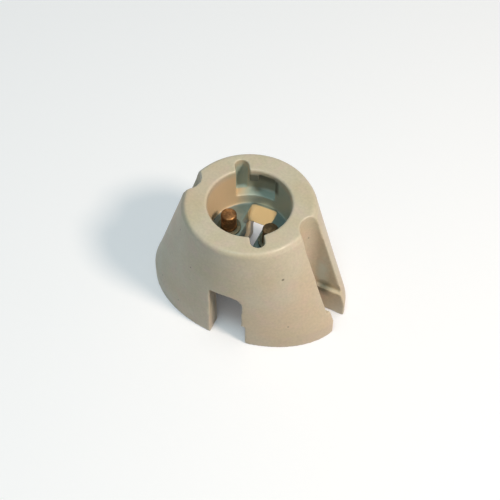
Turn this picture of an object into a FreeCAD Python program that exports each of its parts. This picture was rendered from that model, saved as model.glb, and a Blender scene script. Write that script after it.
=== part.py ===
import FreeCAD, Part
import math
import os

import Sketcher

# Porcelain bayonet lamp holder, millimetres.
# Frame: Z up from the mounting plane, X along the long axis of the oval foot,
# the cable notch drawn first faces -Y. Everything has two-fold symmetry about Z.

os.makedirs("parts", exist_ok=True)
doc = FreeCAD.newDocument("LampHolder")
sheet = doc.addObject("Spreadsheet::Sheet", "Sizes")


class Size:
    """A length with its value and the sheet expression that gives it."""

    def __init__(self, value, text):
        self.value = float(value)
        self.text = text

    def _join(self, other, sign, value):
        return Size(value, "(" + self.text + " " + sign + " " + other.text + ")")

    def __add__(self, other):
        other = as_size(other)
        return self._join(other, "+", self.value + other.value)

    def __sub__(self, other):
        other = as_size(other)
        return self._join(other, "-", self.value - other.value)

    def __mul__(self, other):
        other = as_size(other)
        return self._join(other, "*", self.value * other.value)

    def __truediv__(self, other):
        other = as_size(other)
        return self._join(other, "/", self.value / other.value)

    def __neg__(self):
        return Size(-self.value, "(0 - " + self.text + ")")


def as_size(number):
    """Give a plain number the same form as a size from the sheet."""
    if isinstance(number, Size):
        return number
    return Size(number, str(float(number)))


row = 0


def size(alias, value, note):
    """Enter one driving size in the sheet and return it for use below."""
    global row
    row += 1
    sheet.set("A" + str(row), note)
    sheet.set("B" + str(row), str(value))
    sheet.setAlias("B" + str(row), alias)
    return Size(value, "Sizes." + alias)


# Porcelain body: outside
height = size("height", 38.5, "overall height")
base_half_long = size("base_half_long", 29.2, "base oval, half length along X")
base_half_wide = size("base_half_wide", 19.5, "base oval, half width along Y")
band = size("band", 5.0, "height of the straight band at the foot")
ring_radius = size("ring_radius", 18.0, "outer radius of the top ring")
ring_round = size("ring_round", 1.2, "rounding of the ring's outer edge")
mouth_edge = size("mouth_edge", 0.45, "easing of the socket's mouth")

# Porcelain body: socket for the lamp cap
bore = size("bore", 11.4, "socket radius for a 22 mm bayonet cap")
socket_depth = size("socket_depth", 14.0, "depth of the socket to the platforms")
platform_thick = size("platform_thick", 4.5, "thickness of the contact platforms")
platform = height - socket_depth
roof = platform - platform_thick
slot_half = size("slot_half", 1.9, "half width of a pin's entry slot")
slot_reach = size("slot_reach", 15.4, "outer reach of the entry slot")
slot_turn = size("slot_turn", 123.5, "direction of the entry slot from X, degrees")
track_radius = size("track_radius", 14.2, "outer radius of the pin track")
rest_lip = size("rest_lip", 1.9, "porcelain left over the pin's resting pocket")
tooth_rise = size("tooth_rise", 2.9, "resting pocket's roof above the locking tooth")
track_depth = size("track_depth", 5.7, "depth of the pin track below the tooth")
rest_roof = height - rest_lip
tooth_under = rest_roof - tooth_rise
track_floor = tooth_under - track_depth
track_from = size("track_from", 77.0, "direction where the track ends, degrees")
rest_sweep = size("rest_sweep", 24.0, "sweep of the resting pocket, degrees")

# Porcelain body: passage between the contact platforms
gap_half = size("gap_half", 3.8, "half width of the passage clear of the bosses")
neck_half = size("neck_half", 2.4, "half width of the passage between the bosses")
neck_end = size("neck_end", 3.4, "where the passage widens, from the middle")
gap_end = size("gap_end", 10.9, "end of the passage, from the middle")
ramp_run = size("ramp_run", 3.3, "slope at the passage's end, along Y")
gap_foot = gap_end - ramp_run

# Porcelain body: wiring space, cable notches and fixing
space_radius = size("space_radius", 14.6, "radius of the wiring space")
space_half = size("space_half", 12.6, "half length of the wiring space along X")
notch_left = size("notch_left", 3.6, "front notch, from the middle to the left jamb")
notch_right = size("notch_right", 6.0, "front notch, from the middle to the right jamb")
notch_drop = size("notch_drop", 0.4, "top of the cable notch below the wiring space's")
notch_top = roof - notch_drop
notch_round = size("notch_round", 3.2, "rounding of the notch's right shoulder")
step_right = size("step_right", 7.0, "notch step, from the middle")
step_top = size("step_top", 7.9, "top of the notch step")
fixing = size("fixing", 19.6, "fixing screw, from the middle")
fixing_turn = size("fixing_turn", -2.8, "line of the two screws from X, degrees")
flute_radius = size("flute_radius", 4.3, "radius of the screwdriver flute")
seat = size("seat", 9.0, "height of the screw seat")
screw_half = size("screw_half", 3.1, "half width of the open screw slot")

# Contact plunger, its barrel and its spring
reach = size("reach", 6.25, "plunger axis, from the middle")
hole_radius = size("hole_radius", 2.95, "barrel hole in the platform")
tip_out = size("tip_out", 6.0, "plunger's reach above the platform at rest")
tip_top = platform + tip_out
tip_radius = size("tip_radius", 2.18, "plunger radius")
tip_edge = size("tip_edge", 0.3, "rounding at the plunger's edge")
tip_dish = size("tip_dish", 0.12, "crown of the plunger's face")
guide_in = size("guide_in", 4.0, "plunger's guide length below the platform")
tip_foot = platform - guide_in
stem_radius = size("stem_radius", 0.9, "stem radius")
groove_radius = size("groove_radius", 0.62, "clip groove radius")
clip_thick = size("clip_thick", 0.5, "thickness of the retaining clip")
clip_gap = size("clip_gap", 0.05, "play between clip and groove")
clip_radius = size("clip_radius", 1.85, "outer radius of the clip")
clip_mouth = size("clip_mouth", 0.5, "half width of the clip's mouth")
barrel_radius = size("barrel_radius", 2.6, "barrel outside radius")
barrel_bore = size("barrel_bore", 2.25, "barrel inside radius")
barrel_drop = size("barrel_drop", 8.0, "barrel's reach below the platform's underside")
barrel_foot = roof - barrel_drop
stem_out = size("stem_out", 1.6, "stem's reach below the barrel at rest")
stem_end = barrel_foot - stem_out
barrel_floor = size("barrel_floor", 1.0, "thickness of the barrel's floor")
collar_radius = size("collar_radius", 3.3, "collar radius")
collar_thick = size("collar_thick", 0.7, "collar thickness")
stem_hole = size("stem_hole", 0.97, "stem hole in the barrel's floor")
wire_radius = size("wire_radius", 0.19, "spring wire radius")
coil_radius = size("coil_radius", 1.9, "spring coil radius to the wire's middle")
coil_turns = size("coil_turns", 5.5, "turns of the spring")
coil_margin = size("coil_margin", 0.05, "play at each end of the spring")

# Barrel fixing and terminal
washer_radius = size("washer_radius", 3.8, "barrel washer radius")
ring_hole = size("ring_hole", 2.9, "hole in washer, strap and nut")
sheet_thick = size("sheet_thick", 0.6, "thickness of washer and strap")
nut_across = size("nut_across", 7.4, "nut, across flats")
nut_thick = size("nut_thick", 2.4, "nut thickness")
strap_radius = size("strap_radius", 3.8, "strap's eye radius")
term_x = size("term_x", 6.8, "terminal axis along X")
term_y = size("term_y", 7.3, "terminal axis along Y")
block_half = size("block_half", 2.8, "half width of the terminal block")
block_drop = size("block_drop", 8.2, "terminal block's reach below the platforms")
block_foot = roof - block_drop
block_edge = size("block_edge", 0.4, "chamfer of the terminal block")
neck_radius = size("neck_radius", 1.2, "riveting neck radius")
neck_hole = size("neck_hole", 1.5, "strap hole for the neck")
neck_head = size("neck_head", 2.0, "radius of the upset head")
neck_head_thick = size("neck_head_thick", 0.4, "thickness of the upset head")
tap_radius = size("tap_radius", 1.6, "tapped hole radius")
tap_depth = size("tap_depth", 6.0, "tapped hole depth")
screw_radius = size("screw_radius", 1.3, "terminal screw radius")
screw_length = size("screw_length", 4.8, "terminal screw length in the block")
head_radius = size("head_radius", 2.5, "terminal screw head radius")
head_thick = size("head_thick", 1.8, "terminal screw head thickness")
head_slot = size("head_slot", 0.4, "half width of the driver slot")
head_slot_deep = size("head_slot_deep", 0.9, "depth of the driver slot")
clamp_radius = size("clamp_radius", 2.7, "clamping washer radius")
clamp_hole = size("clamp_hole", 1.6, "clamping washer hole")

sheet.recompute()
ORIGIN = FreeCAD.Vector(0, 0, 0)
UP = FreeCAD.Vector(0, 0, 1)
pieces = []
cuts = []


def new_body(label, turned=False):
    """Start a body; a turned one is rotated half a turn about the vertical axis."""
    body = doc.addObject("PartDesign::Body", label)
    body.Label = label
    angle = 180.0 if turned else 0.0
    body.Placement = FreeCAD.Placement(ORIGIN, FreeCAD.Rotation(UP, angle))
    pieces.append(body)
    return body


def origin_feature(body, role):
    """Return the body's own origin plane or axis with that role."""
    for feature in body.Origin.OriginFeatures:
        if feature.Role == role:
            return feature
    raise RuntimeError("no origin feature " + role)


def new_sketch(body, name, role="XY_Plane", level=None, turn=None, across=None):
    """Attach a sketch to an origin plane, lifted, turned or shifted by sheet sizes."""
    sketch = body.newObject("Sketcher::SketchObject", name)
    sketch.AttachmentSupport = [(origin_feature(body, role), "")]
    sketch.MapMode = "FlatFace"
    if turn is not None:
        rotation = FreeCAD.Rotation(UP, turn.value)
        sketch.AttachmentOffset = FreeCAD.Placement(ORIGIN, rotation)
        sketch.setExpression(".AttachmentOffset.Rotation.Angle", turn.text)
    if level is not None:
        sketch.setExpression(".AttachmentOffset.Base.z", level.text)
    if across is not None:
        sketch.setExpression(".AttachmentOffset.Base.x", across.text)
    return sketch


def bind(sketch, kind, where, length):
    """Add one driving dimension and tie it to the sheet."""
    number = sketch.addConstraint(Sketcher.Constraint(kind, *where, length.value))
    sketch.setExpression("Constraints[" + str(number) + "]", length.text)


def pin_point(sketch, geo, pos, x, y):
    """Hold a point of the sketch at a place given by two sizes."""
    bind(sketch, "DistanceX", (-1, 1, geo, pos), as_size(x))
    bind(sketch, "DistanceY", (-1, 1, geo, pos), as_size(y))


def outline(sketch, points, arcs=None):
    """Closed outline through the points; arcs maps a side to its (centre, turn) pair."""
    arcs = arcs or {}
    points = [(as_size(x), as_size(y)) for x, y in points]
    count = len(points)
    ends = []
    for i in range(count):
        x0, y0 = points[i]
        x1, y1 = points[(i + 1) % count]
        start = FreeCAD.Vector(x0.value, y0.value, 0)
        stop = FreeCAD.Vector(x1.value, y1.value, 0)
        if i not in arcs:
            geo = sketch.addGeometry(Part.LineSegment(start, stop), False)
            ends.append((geo, 1, 2))
            continue
        (cx, cy), turn = arcs[i]
        cx = as_size(cx)
        cy = as_size(cy)
        centre = FreeCAD.Vector(cx.value, cy.value, 0)
        radius = (start - centre).Length
        first = start if turn > 0 else stop
        last = stop if turn > 0 else start
        a0 = math.atan2(first.y - centre.y, first.x - centre.x)
        a1 = math.atan2(last.y - centre.y, last.x - centre.x)
        if a1 <= a0:
            a1 += 2 * math.pi
        circle = Part.Circle(centre, UP, radius)
        geo = sketch.addGeometry(Part.ArcOfCircle(circle, a0, a1), False)
        ends.append((geo, 1, 2) if turn > 0 else (geo, 2, 1))
        if abs(x1.value - x0.value) > abs(y1.value - y0.value):
            bind(sketch, "DistanceY", (-1, 1, geo, 3), cy)
        else:
            bind(sketch, "DistanceX", (-1, 1, geo, 3), cx)
    for i in range(count):
        geo, _, end = ends[i]
        following, begin, _ = ends[(i + 1) % count]
        joint = Sketcher.Constraint("Coincident", geo, end, following, begin)
        sketch.addConstraint(joint)
        x, y = points[(i + 1) % count]
        pin_point(sketch, following, begin, x, y)


def circle(sketch, radius, x=0, y=0):
    """Circle with its centre and radius given by sizes."""
    x = as_size(x)
    y = as_size(y)
    shape = Part.Circle(FreeCAD.Vector(x.value, y.value, 0), UP, radius.value)
    geo = sketch.addGeometry(shape, False)
    pin_point(sketch, geo, 3, x, y)
    bind(sketch, "Radius", (geo,), radius)


def oval(sketch, half_long, half_wide):
    """Ellipse about the sketch's origin, long axis along its X."""
    shape = Part.Ellipse(ORIGIN, half_long.value, half_wide.value)
    geo = sketch.addGeometry(shape, False)
    sketch.exposeInternalGeometry(geo)
    sketch.addConstraint(Sketcher.Constraint("Coincident", geo, 3, -1, 1))
    sketch.addConstraint(Sketcher.Constraint("Horizontal", geo + 1))
    bind(sketch, "Distance", (geo + 1,), half_long * 2)
    bind(sketch, "Distance", (geo + 2,), half_wide * 2)


def box_outline(sketch, x0, y0, x1, y1):
    """Rectangle between two corners."""
    outline(sketch, [(x0, y0), (x1, y0), (x1, y1), (x0, y1)])


def open_slot(sketch, tip_x, open_x, half):
    """Slot along X with a round end about tip_x and an open end at open_x."""
    inward = as_size(open_x).value > as_size(tip_x).value
    points = [(open_x, -half), (tip_x, -half), (tip_x, half), (open_x, half)]
    outline(sketch, points, {1: ((tip_x, 0), -1 if inward else 1)})


def sector(sketch, inner, outer, sweep):
    """Part of a ring from the sketch's X axis round to the sweep angle."""
    angle = math.radians(sweep.value)
    near = Part.Circle(ORIGIN, UP, inner.value)
    far = Part.Circle(ORIGIN, UP, outer.value)
    a = sketch.addGeometry(Part.ArcOfCircle(near, 0, angle), False)
    b = sketch.addGeometry(Part.ArcOfCircle(far, 0, angle), False)
    x0, x1 = inner.value, outer.value
    c, s = math.cos(angle), math.sin(angle)
    first = Part.LineSegment(FreeCAD.Vector(x0, 0, 0), FreeCAD.Vector(x1, 0, 0))
    last = Part.LineSegment(
        FreeCAD.Vector(x0 * c, x0 * s, 0), FreeCAD.Vector(x1 * c, x1 * s, 0))
    low = sketch.addGeometry(first, False)
    high = sketch.addGeometry(last, False)
    for arc, end in ((a, 1), (b, 2)):
        sketch.addConstraint(Sketcher.Constraint("Coincident", arc, 3, -1, 1))
        sketch.addConstraint(Sketcher.Constraint("Coincident", low, end, arc, 1))
        sketch.addConstraint(Sketcher.Constraint("Coincident", high, end, arc, 2))
    sketch.addConstraint(Sketcher.Constraint("Horizontal", low))
    sketch.addConstraint(Sketcher.Constraint("PointOnObject", low, 1, -1))
    bind(sketch, "Radius", (a,), inner)
    bind(sketch, "Radius", (b,), outer)
    bind_angle(sketch, low, high, sweep)
    sketch.addConstraint(Sketcher.Constraint("PointOnObject", -1, 1, high))


def bind_angle(sketch, first, second, sweep):
    """Hold the angle between two lines at a sheet value in degrees."""
    rule = Sketcher.Constraint("Angle", first, 1, second, 1, math.radians(sweep.value))
    number = sketch.addConstraint(rule)
    sketch.setExpression("Constraints[" + str(number) + "]", sweep.text + " * 1 deg")


def pad(body, name, sketch, length):
    """Raise a sketch upwards along its normal."""
    feature = body.newObject("PartDesign::Pad", name)
    feature.Profile = sketch
    feature.setExpression("Length", length.text)
    body.Tip = feature
    return feature


def pocket(body, name, sketch, length, backwards=False):
    """Cut a sketch into the body, downwards unless told otherwise."""
    feature = body.newObject("PartDesign::Pocket", name)
    feature.Profile = sketch
    feature.Reversed = backwards
    feature.setExpression("Length", length.text)
    body.Tip = feature
    cuts.append(feature)
    return feature


def turned_solid(body, name, sketch):
    """Revolve a profile about its sketch's vertical axis."""
    feature = body.newObject("PartDesign::Revolution", name)
    feature.Profile = sketch
    feature.ReferenceAxis = (sketch, ["V_Axis"])
    feature.Angle = 360
    body.Tip = feature
    return feature


def both_sides(body, name, feature):
    """Repeat a feature after half a turn about the vertical axis."""
    pattern = body.newObject("PartDesign::PolarPattern", name)
    pattern.Originals = [feature]
    pattern.Axis = (origin_feature(body, "Z_Axis"), [""])
    pattern.Angle = 360
    pattern.Occurrences = 2
    body.Tip = pattern
    return pattern


def turned_cut(body, name, sketch):
    """Cut a profile turned about the socket's axis out of the body."""
    feature = body.newObject("PartDesign::Groove", name)
    feature.Profile = sketch
    feature.ReferenceAxis = (sketch, ["V_Axis"])
    feature.Angle = 360
    body.Tip = feature
    cuts.append(feature)
    return feature


def build_porcelain():
    """One-piece fired body: oval foot, tapering shell, socket, flutes and notches."""
    body = new_body("porcelain_body")

    foot = new_sketch(body, "foot_oval")
    oval(foot, base_half_long, base_half_wide)
    pad(body, "foot_band", foot, band)

    low = new_sketch(body, "shell_oval", level=band)
    oval(low, base_half_long, base_half_wide)
    top = new_sketch(body, "shell_ring", level=height)
    circle(top, ring_radius)
    shell = body.newObject("PartDesign::AdditiveLoft", "shell")
    shell.Profile = low
    shell.Sections = [top]
    shell.Ruled = True
    body.Tip = shell

    shoulder = new_sketch(body, "ring_edge", "XZ_Plane")
    inner = ring_radius - ring_round
    middle = height - ring_round
    points = [(inner, height), (ring_radius, middle), (ring_radius + 2, middle),
              (ring_radius + 2, height + 1), (inner, height + 1)]
    outline(shoulder, points, {0: ((inner, middle), -1)})
    turned_cut(body, "ring_rounding", shoulder)

    mouth = new_sketch(body, "socket_profile", "XZ_Plane")
    points = [(0, platform), (bore, platform), (bore, height - mouth_edge),
              (bore + mouth_edge, height), (bore + mouth_edge, height + 1),
              (0, height + 1)]
    outline(mouth, points)
    turned_cut(body, "socket", mouth)

    space = new_sketch(body, "space_outline", level=roof)
    side = math.sqrt(space_radius.value ** 2 - space_half.value ** 2)
    side = Size(side, "sqrt(Sizes.space_radius ^ 2 - Sizes.space_half ^ 2)")
    corners = [(space_half, -side), (space_half, side), (-space_half, side),
               (-space_half, -side)]
    outline(space, corners, {1: ((0, 0), 1), 3: ((0, 0), 1)})
    pocket(body, "wiring_space", space, roof)

    wide = new_sketch(body, "passage_end", "YZ_Plane", level=gap_half)
    points = [(neck_end, roof - 1), (gap_foot, roof - 1), (gap_foot, roof),
              (gap_end, platform), (neck_end, platform)]
    outline(wide, points)
    both_sides(body, "passage_ends", pocket(body, "passage_wide", wide, gap_half * 2))
    neck = new_sketch(body, "passage_middle", level=platform)
    box_outline(neck, -neck_half, -neck_end, neck_half, neck_end)
    pocket(body, "passage_neck", neck, platform - roof + 1)

    hole = new_sketch(body, "barrel_circle", level=platform)
    circle(hole, hole_radius, reach)
    both_sides(body, "barrel_holes",
               pocket(body, "barrel_hole", hole, platform - roof + 1))

    entry = new_sketch(body, "entry_outline", level=height, turn=slot_turn)
    open_slot(entry, slot_reach - slot_half, bore - 3, slot_half)
    both_sides(body, "entry_slots",
               pocket(body, "entry_slot", entry, height - track_floor))

    track = new_sketch(body, "track_outline", level=tooth_under, turn=track_from)
    sector(track, bore - 3, track_radius, slot_turn - track_from)
    both_sides(body, "tracks",
               pocket(body, "track", track, tooth_under - track_floor))

    rest = new_sketch(body, "rest_outline", level=rest_roof, turn=track_from)
    sector(rest, bore - 3, track_radius, rest_sweep)
    both_sides(body, "rest_pockets",
               pocket(body, "rest_pocket", rest, rest_roof - tooth_under + 1))

    flute = new_sketch(body, "flute_outline", level=height, turn=fixing_turn)
    open_slot(flute, fixing, base_half_long + 4, flute_radius)
    both_sides(body, "flutes", pocket(body, "flute", flute, height - seat))

    screw = new_sketch(body, "screw_outline", level=seat, turn=fixing_turn)
    open_slot(screw, fixing, base_half_long + 4, screw_half)
    both_sides(body, "screw_slots", pocket(body, "screw_slot", screw, seat))

    notch = new_sketch(body, "notch_outline", "XZ_Plane", level=base_half_wide + 2)
    points = [(-notch_left, 0), (step_right, 0), (step_right, step_top),
              (notch_right, step_top), (notch_right, notch_top - notch_round),
              (notch_right - notch_round, notch_top), (-notch_left, notch_top)]
    shoulder = (notch_right - notch_round, notch_top - notch_round)
    outline(notch, points, {4: (shoulder, 1)})
    both_sides(body, "notches",
               pocket(body, "notch", notch, base_half_wide + 2 - gap_end - 2))
    return body


def profile(body, name, points):
    """Turned profile about the contact's axis, as (radius, level) pairs."""
    sketch = new_sketch(body, name, "XZ_Plane", across=reach)
    outline(sketch, points)
    return sketch


def build_plunger(label, turned):
    """Contact plunger: crowned tip, guide length, stem and clip groove."""
    body = new_body(label, turned)
    crown = tip_radius * 0.6
    points = [(0, tip_top), (0, stem_end), (stem_radius, stem_end),
              (stem_radius, barrel_foot - clip_thick - clip_gap * 2),
              (groove_radius, barrel_foot - clip_thick - clip_gap * 2),
              (groove_radius, barrel_foot), (stem_radius, barrel_foot),
              (stem_radius, tip_foot), (tip_radius, tip_foot),
              (tip_radius, tip_top - tip_edge - tip_dish),
              (tip_radius - tip_edge * 0.3, tip_top - tip_edge * 0.3 - tip_dish),
              (tip_radius - tip_edge, tip_top - tip_dish),
              (crown, tip_top - tip_dish * 0.3)]
    turned_solid(body, "plunger", profile(body, "plunger_profile", points))


def build_clip(label, turned):
    """Open retaining clip that sits in the stem's groove."""
    body = new_body(label, turned)
    flat = new_sketch(body, "clip_outline", level=barrel_foot - clip_thick - clip_gap)
    circle(flat, clip_radius, reach)
    circle(flat, groove_radius + clip_gap, reach)
    pad(body, "clip_disc", flat, clip_thick)
    mouth = new_sketch(body, "clip_mouth", level=barrel_foot)
    box_outline(mouth, reach - clip_mouth, 0, reach + clip_mouth, clip_radius + 1)
    pocket(body, "clip_opening", mouth, clip_thick + 1)


def build_spring(label, turned):
    """Helical return spring round the stem; its wire has six flats to keep it light."""
    body = new_body(label, turned)
    wire = new_sketch(body, "wire_section", "XZ_Plane", across=reach)
    start = barrel_foot + barrel_floor + wire_radius + coil_margin
    corners = []
    for i in range(6):
        angle = math.radians(60 * i + 30)
        corners.append((coil_radius + wire_radius * math.cos(angle),
                        start + wire_radius * math.sin(angle)))
    outline(wire, corners)
    rise = tip_foot - start - wire_radius - coil_margin
    coil = body.newObject("PartDesign::AdditiveHelix", "coil")
    coil.Profile = wire
    coil.ReferenceAxis = (wire, ["V_Axis"])
    coil.Mode = "height-turns-angle"
    coil.setExpression("Height", rise.text)
    coil.setExpression("Turns", coil_turns.text)
    body.Tip = coil


def build_barrel(label, turned):
    """Collared brass barrel that guides the plunger and holds its spring."""
    body = new_body(label, turned)
    top = platform + collar_thick
    points = [(barrel_bore, top), (barrel_bore, barrel_foot + barrel_floor),
              (stem_hole, barrel_foot + barrel_floor), (stem_hole, barrel_foot),
              (barrel_radius - 0.3, barrel_foot), (barrel_radius, barrel_foot + 0.3),
              (barrel_radius, platform), (collar_radius, platform),
              (collar_radius, top - 0.2), (collar_radius - 0.2, top)]
    turned_solid(body, "barrel", profile(body, "barrel_profile", points))


def build_ring(label, turned, level, outer, inner, x, y):
    """Flat round washer."""
    body = new_body(label, turned)
    flat = new_sketch(body, "washer_outline", level=level)
    circle(flat, outer, x, y)
    circle(flat, inner, x, y)
    pad(body, "washer", flat, sheet_thick)


def build_nut(label, turned):
    """Hexagon nut under the strap."""
    body = new_body(label, turned)
    level = roof - sheet_thick * 2 - nut_thick
    flat = new_sketch(body, "nut_outline", level=level)
    corners = []
    for i in range(6):
        angle = math.radians(30 + 60 * i)
        corner = nut_across * (1 / math.sqrt(3))
        corners.append((reach + corner * math.cos(angle), corner * math.sin(angle)))
    outline(flat, corners)
    circle(flat, ring_hole, reach)
    pad(body, "nut", flat, nut_thick)


def build_strap(label, turned):
    """Brass strap from the barrel to the terminal block."""
    body = new_body(label, turned)
    level = roof - sheet_thick * 2
    eye = new_sketch(body, "strap_eye", level=level)
    circle(eye, strap_radius, reach)
    pad(body, "eye", eye, sheet_thick)
    tail = new_sketch(body, "strap_tail", level=level)
    box_outline(tail, term_x - block_half, -term_y - block_half,
                term_x + block_half, 0)
    pad(body, "tail", tail, sheet_thick)
    hole = new_sketch(body, "strap_hole", level=level + sheet_thick)
    circle(hole, ring_hole, reach)
    pocket(body, "barrel_eye", hole, sheet_thick)
    rivet = new_sketch(body, "rivet_circle", level=level + sheet_thick)
    circle(rivet, neck_hole, term_x, -term_y)
    pocket(body, "rivet_hole", rivet, sheet_thick)


def build_block(label, turned):
    """Terminal block with a tapped hole below and a riveting neck above."""
    body = new_body(label, turned)
    top = roof - sheet_thick * 2
    face = new_sketch(body, "block_outline", level=block_foot)
    west = term_x - block_half
    east = term_x + block_half
    south = -term_y - block_half
    north = -term_y + block_half
    cut = block_edge
    points = [(west + cut, south), (east - cut, south), (east, south + cut),
              (east, north - cut), (east - cut, north), (west + cut, north),
              (west, north - cut), (west, south + cut)]
    outline(face, points)
    pad(body, "block", face, top - block_foot)
    tap = new_sketch(body, "tap_circle", level=block_foot + tap_depth)
    circle(tap, tap_radius, term_x, -term_y)
    pocket(body, "tapped_hole", tap, tap_depth)
    neck = new_sketch(body, "neck_circle", level=top)
    circle(neck, neck_radius, term_x, -term_y)
    pad(body, "neck", neck, sheet_thick)
    head = new_sketch(body, "head_circle", level=top + sheet_thick)
    circle(head, neck_head, term_x, -term_y)
    pad(body, "upset_head", head, neck_head_thick)


def build_screw(label, turned):
    """Slotted cheese-head terminal screw, driven from below."""
    body = new_body(label, turned)
    face = block_foot - sheet_thick
    head = new_sketch(body, "head_outline", level=face - head_thick)
    circle(head, head_radius, term_x, -term_y)
    pad(body, "head", head, head_thick)
    shank = new_sketch(body, "shank_outline", level=face)
    circle(shank, screw_radius, term_x, -term_y)
    pad(body, "shank", shank, sheet_thick + screw_length)
    slot = new_sketch(body, "slot_outline", level=face - head_thick + head_slot_deep)
    box_outline(slot, term_x - head_slot, -term_y - head_radius - 1,
                term_x + head_slot, -term_y + head_radius + 1)
    pocket(body, "driver_slot", slot, head_slot_deep + 1)


def build_contact(side, turned):
    """One complete contact with its terminal."""
    build_plunger("plunger_" + side, turned)
    build_clip("plunger_clip_" + side, turned)
    build_spring("plunger_spring_" + side, turned)
    build_barrel("contact_barrel_" + side, turned)
    build_ring("barrel_washer_" + side, turned, roof - sheet_thick,
               washer_radius, ring_hole, reach, 0)
    build_strap("contact_strap_" + side, turned)
    build_nut("barrel_nut_" + side, turned)
    build_block("terminal_block_" + side, turned)
    build_ring("terminal_washer_" + side, turned, block_foot - sheet_thick,
               clamp_radius, clamp_hole, term_x, -term_y)
    build_screw("terminal_screw_" + side, turned)


build_porcelain()
build_contact("right", False)
build_contact("left", True)
doc.recompute()

for item in doc.Objects:
    bad = [state for state in item.State if state in ("Invalid", "Error")]
    if bad:
        raise RuntimeError(item.Name + " did not recompute: " + ", ".join(bad))
for feature in cuts:
    before = feature.BaseFeature.Shape.Volume
    if feature.Shape.Volume > before - 0.05:
        raise RuntimeError(feature.Name + " removed nothing")
for piece in pieces:
    shape = piece.Shape
    if shape.isNull() or not shape.isValid() or len(shape.Solids) != 1:
        raise RuntimeError(piece.Label + " is not one valid solid")
    shape.exportStep("parts/" + piece.Label + ".step")
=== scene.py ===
"""Porcelain bayonet lamp holder: its visible pieces, finishes, studio and camera."""
import logging
import math
from dataclasses import dataclass, field
from enum import Enum
from typing import Dict, List, Optional, Sequence, Tuple

import bmesh
import bpy
from mathutils import Matrix, Vector, noise


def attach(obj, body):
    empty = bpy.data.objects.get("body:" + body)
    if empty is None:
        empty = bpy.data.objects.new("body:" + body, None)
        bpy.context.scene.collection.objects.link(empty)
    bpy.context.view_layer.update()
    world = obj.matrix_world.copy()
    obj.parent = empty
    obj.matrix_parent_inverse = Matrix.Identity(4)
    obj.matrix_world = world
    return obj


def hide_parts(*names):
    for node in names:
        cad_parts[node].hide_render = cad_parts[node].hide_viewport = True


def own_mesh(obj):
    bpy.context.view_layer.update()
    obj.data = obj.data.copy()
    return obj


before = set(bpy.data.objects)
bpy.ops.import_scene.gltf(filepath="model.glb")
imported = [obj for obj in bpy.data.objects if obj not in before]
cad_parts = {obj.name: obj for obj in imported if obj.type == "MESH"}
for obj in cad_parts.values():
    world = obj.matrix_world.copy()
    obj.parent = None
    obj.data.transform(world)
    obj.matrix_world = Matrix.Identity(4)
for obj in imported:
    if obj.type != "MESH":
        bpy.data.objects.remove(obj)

LOG = logging.getLogger("lamp_holder")
MM = 0.001
WELD = 0.002 * MM  # points closer than this are one
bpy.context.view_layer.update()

Socket = bpy.types.NodeSocket
Material = bpy.types.Material
Mesh = bpy.types.Mesh
Piece = bpy.types.Object
Rgb = Tuple[float, float, float]
Point = Tuple[float, float, float]
ProfilePoint = Tuple[float, float]
Limits = Tuple[float, float]
Inputs = Dict[object, object]

WHITE = (1.0, 1.0, 1.0, 1.0)
EDGE_CURVE = "edge_curve"  # the attribute that says where the glaze bends
NOISE_REACH: Limits = (0.3, 0.7)  # where most values of a noise pattern lie
ROUNDING_SHARE = 0.45  # share of a side that one corner's rounding may take

# Angles between faces, in degrees: below the first they are one face, above the
# second their edge is rounded, and above the others it stays sharp in shading.
FLAT_ANGLE = 1.0
ROUNDED_ANGLE = 32.0
SOFT_ANGLE = 40.0
TURNED_ANGLE = 45.0
NUT_ANGLE = 25.0
COIL_ANGLE = 50.0


class Side(Enum):
    """The two contacts, named by the half of the socket they stand in."""

    RIGHT = "right"
    LEFT = "left"

    @property
    def sign(self) -> float:
        """+1 on the right, -1 on the left."""
        return 1.0 if self is Side.RIGHT else -1.0


class Body(Enum):
    """The rigid bodies that pieces ride on."""

    HOLDER = "holder"
    RIGHT_CONTACT = "right_contact"
    LEFT_CONTACT = "left_contact"


class Patina(Enum):
    """How far a metal surface has darkened with age."""

    FRESH = 0.15
    DULL = 0.45
    DARK = 0.8


# Node helpers


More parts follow.
